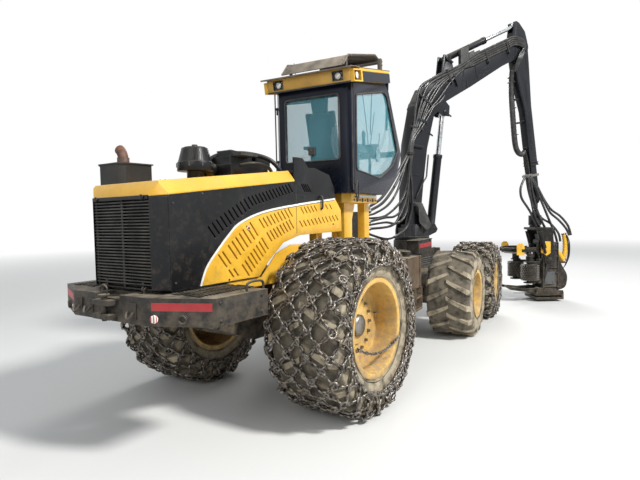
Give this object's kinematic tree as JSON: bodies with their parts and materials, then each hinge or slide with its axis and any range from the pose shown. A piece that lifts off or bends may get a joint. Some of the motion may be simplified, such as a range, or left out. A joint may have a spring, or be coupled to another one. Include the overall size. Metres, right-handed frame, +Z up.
{
  "type": "six-wheel forestry harvester",
  "caption": "Articulated six-wheel forestry harvester with chained tyres, a glazed cab, a knuckle crane and a felling head.",
  "frame": {"origin": "middle of the machine's bounding box as parked, on the ground", "axes": "+X forward along the rear module, +Y to its left, +Z up"},
  "size_m": [9.8333, 3.7158, 5.7705],
  "materials": {
    "frame_paint": "satin",
    "yellow_paint": "semi-gloss",
    "black_plastic": "matt",
    "grey_cast": "matt",
    "rusty_steel": "rusty",
    "tyre_rubber": "matt",
    "rim_paint": "semi-gloss",
    "cab_paint": "satin",
    "tinted_glass": "clear",
    "seat_fabric": "woven",
    "lamp": "clear",
    "crane_paint": "satin",
    "chrome_rod": "polished",
    "head_paint": "worn",
    "bare_steel": "brushed"
  },
  "bodies": {
    "root": {"rear_frame": "frame_paint", "rear_bumper": "frame_paint", "engine_block": "grey_cast", "rear_axle": "frame_paint", "rear_fenders": "yellow_paint"},
    "hood": {"hood_top": "yellow_paint", "hood_side_black": "black_plastic", "hood_side_yellow": "yellow_paint", "rear_grille": "black_plastic", "exhaust": "rusty_steel", "intake": "black_plastic"},
    "front": {"front_frame": "frame_paint", "bogie_boxes": "frame_paint", "side_tanks": "frame_paint", "cab_base": "yellow_paint", "cab_frame": "cab_paint", "cab_roof": "yellow_paint", "roof_guard": "frame_paint", "cab_glass": "tinted_glass", "seat_base": "black_plastic", "seat_cushion": "seat_fabric", "console": "black_plastic", "work_lamps": "lamp"},
    "cab_door": {"cab_door": "cab_paint", "door_glass": "tinted_glass"},
    "crane": {"crane_pillar": "crane_paint"},
    "boom": {"main_boom": "crane_paint"},
    "lift_barrel": {"lift_barrel": "crane_paint"},
    "lift_rod": {"lift_rod": "chrome_rod"},
    "jib": {"jib": "crane_paint"},
    "jib_barrel": {"jib_barrel": "crane_paint"},
    "jib_rod": {"jib_rod": "chrome_rod"},
    "extension": {"extension": "crane_paint"},
    "link": {"tip_link": "crane_paint"},
    "tilt": {"tilt_frame": "head_paint"},
    "head": {"head_frame": "head_paint"},
    "knife_l": {"knife_l": "head_paint"},
    "knife_r": {"knife_r": "head_paint"},
    "feed_arm_l": {"feed_arm_l": "head_paint"},
    "feed_arm_r": {"feed_arm_r": "head_paint"},
    "saw": {"saw_bar": "bare_steel"},
    "wheel_rear_l": {"tyre_rear_l": "tyre_rubber", "rim_rear_l": "rim_paint"},
    "wheel_rear_r": {"tyre_rear_r": "tyre_rubber", "rim_rear_r": "rim_paint"},
    "wheel_mid_l": {"tyre_mid_l": "tyre_rubber", "rim_mid_l": "rim_paint"},
    "wheel_mid_r": {"tyre_mid_r": "tyre_rubber", "rim_mid_r": "rim_paint"},
    "wheel_front_l": {"tyre_front_l": "tyre_rubber", "rim_front_l": "rim_paint"},
    "wheel_front_r": {"tyre_front_r": "tyre_rubber", "rim_front_r": "rim_paint"},
    "steer_barrel_l": {"steer_barrel_l": "frame_paint"},
    "steer_rod_l": {"steer_rod_l": "chrome_rod"},
    "steer_barrel_r": {"steer_barrel_r": "frame_paint"},
    "steer_rod_r": {"steer_rod_r": "chrome_rod"}
  },
  "joints": [
    {"name": "hood_lid", "type": "hinge", "parent": "root", "child": "hood", "pos_m": [-4.687, -0.008, 1.345], "axis": [0, -1, 0], "range_deg": [0, 55]},
    {"name": "steer", "type": "hinge", "parent": "root", "child": "front", "pos_m": [-1.207, -0.008, 0.965], "axis": [0, 0, 1], "range_deg": [-48.3, 35.7]},
    {"name": "roll_rear_l", "type": "hinge", "parent": "root", "child": "wheel_rear_l", "pos_m": [-2.987, 1.042, 0.836], "axis": [0, 1, 0], "continuous": true},
    {"name": "roll_rear_r", "type": "hinge", "parent": "root", "child": "wheel_rear_r", "pos_m": [-2.987, -1.058, 0.836], "axis": [0, 1, 0], "continuous": true},
    {"name": "roll_mid_l", "type": "hinge", "parent": "front", "child": "wheel_mid_l", "pos_m": [0.30835, 1.26598, 0.656], "axis": [-0.1097, 0.994, 0], "continuous": true},
    {"name": "roll_mid_r", "type": "hinge", "parent": "front", "child": "wheel_mid_r", "pos_m": [0.54977, -0.92073, 0.656], "axis": [-0.1097, 0.994, 0], "continuous": true},
    {"name": "roll_front_l", "type": "hinge", "parent": "front", "child": "wheel_front_l", "pos_m": [1.8152, 1.43234, 0.678], "axis": [-0.1097, 0.994, 0], "continuous": true},
    {"name": "roll_front_r", "type": "hinge", "parent": "front", "child": "wheel_front_r", "pos_m": [2.05661, -0.75438, 0.678], "axis": [-0.1097, 0.994, 0], "continuous": true},
    {"name": "steer_barrel_turn_l", "type": "hinge", "parent": "root", "child": "steer_barrel_l", "pos_m": [-2.087, 0.392, 0.69], "axis": [0, 0, 1], "range_deg": [-13.82, 10.35]},
    {"name": "steer_rod_slide_l", "type": "slide", "parent": "steer_barrel_l", "child": "steer_rod_l", "axis": [0.9997, -0.0259, 0], "range_m": [-0.208, 0.2808]},
    {"name": "steer_barrel_turn_r", "type": "hinge", "parent": "root", "child": "steer_barrel_r", "pos_m": [-2.087, -0.408, 0.69], "axis": [0, 0, 1], "range_deg": [-13.21, 9.89]},
    {"name": "steer_rod_slide_r", "type": "slide", "parent": "steer_barrel_r", "child": "steer_rod_r", "axis": [0.9962, 0.0874, 0], "range_m": [-0.301, 0.223]},
    {"name": "door", "type": "hinge", "parent": "front", "child": "cab_door", "pos_m": [-2.10527, 0.43712, 2.8], "axis": [0, 0, 1], "range_deg": [0, 80]},
    {"name": "slew", "type": "hinge", "parent": "front", "child": "crane", "pos_m": [1.62579, 0.30474, 1.5], "axis": [0, 0, 1], "range_deg": [-73.7, 146.3]},
    {"name": "lift", "type": "hinge", "parent": "crane", "child": "boom", "pos_m": [1.58249, 0.32974, 2], "axis": [0.5, 0.866, 0], "range_deg": [-25, 35]},
    {"name": "jib_fold", "type": "hinge", "parent": "boom", "child": "jib", "pos_m": [3.99004, -1.06026, 5.27], "axis": [-0.5, -0.866, 0], "range_deg": [-10, 70]},
    {"name": "extend", "type": "slide", "parent": "jib", "child": "extension", "axis": [0.128, -0.0739, -0.989], "range_m": [0, 1.15]},
    {"name": "link_swing", "type": "hinge", "parent": "extension", "child": "link", "pos_m": [4.39646, -1.2949, 2.12988], "axis": [-0.5, -0.866, 0], "range_deg": [-40, 60]},
    {"name": "rotator", "type": "hinge", "parent": "link", "child": "tilt", "pos_m": [4.39646, -1.2949, 1.4], "axis": [0, 0, 1], "continuous": true},
    {"name": "tilt", "type": "hinge", "parent": "tilt", "child": "head", "pos_m": [4.50271, -1.45242, 0.85987], "axis": [-0.829, -0.5592, 0], "range_deg": [0, 90]},
    {"name": "knife_l", "type": "hinge", "parent": "head", "child": "knife_l", "pos_m": [4.22091, -1.40125, 0.69988], "axis": [0, 0, 1], "range_deg": [0, 35]},
    {"name": "knife_r", "type": "hinge", "parent": "head", "child": "knife_r", "pos_m": [4.56082, -1.17198, 0.69988], "axis": [0, 0, -1], "range_deg": [0, 35]},
    {"name": "feed_arm_l", "type": "hinge", "parent": "head", "child": "feed_arm_l", "pos_m": [4.22091, -1.40125, 0.69988], "axis": [0, 0, 1], "range_deg": [0, 25]},
    {"name": "feed_arm_r", "type": "hinge", "parent": "head", "child": "feed_arm_r", "pos_m": [4.56082, -1.17198, 0.69988], "axis": [0, 0, -1], "range_deg": [0, 25]},
    {"name": "saw", "type": "hinge", "parent": "head", "child": "saw", "pos_m": [4.81621, -1.47014, 0.10988], "axis": [0, 0, 1], "range_deg": [0, 80]},
    {"name": "lift_barrel_turn", "type": "hinge", "parent": "crane", "child": "lift_barrel", "pos_m": [1.99818, 0.08974, 1.62], "axis": [-0.5, -0.866, 0], "range_deg": [-31.62, 22.73]},
    {"name": "lift_rod_slide", "type": "slide", "parent": "lift_barrel", "child": "lift_rod", "axis": [0.1219, -0.0704, 0.99], "range_m": [-0.3374, 0.2416]},
    {"name": "jib_barrel_turn", "type": "hinge", "parent": "boom", "child": "jib_barrel", "pos_m": [2.31861, -0.09526, 4.82], "axis": [-0.5, -0.866, 0], "range_deg": [-6.23, 1.32]},
    {"name": "jib_rod_slide", "type": "slide", "parent": "jib_barrel", "child": "jib_rod", "axis": [0.7804, -0.4505, 0.4337], "range_m": [-0.4761, 0.0697]}
  ],
  "couplings": [
    {"joint": "steer_barrel_turn_l", "follows": "steer", "ratio": 0.27587},
    {"joint": "steer_rod_slide_l", "follows": "steer", "m_per_rad": -0.33069},
    {"joint": "steer_barrel_turn_r", "follows": "steer", "ratio": 0.26309},
    {"joint": "steer_rod_slide_r", "follows": "steer", "m_per_rad": 0.35463},
    {"joint": "knife_r", "follows": "knife_l", "ratio": 1},
    {"joint": "feed_arm_r", "follows": "feed_arm_l", "ratio": 1},
    {"joint": "lift_barrel_turn", "follows": "lift", "ratio": -0.88915},
    {"joint": "lift_rod_slide", "follows": "lift", "m_per_rad": -0.54903},
    {"joint": "jib_barrel_turn", "follows": "jib_fold", "ratio": -0.08186},
    {"joint": "jib_rod_slide", "follows": "jib_fold", "m_per_rad": -0.3881}
  ]
}
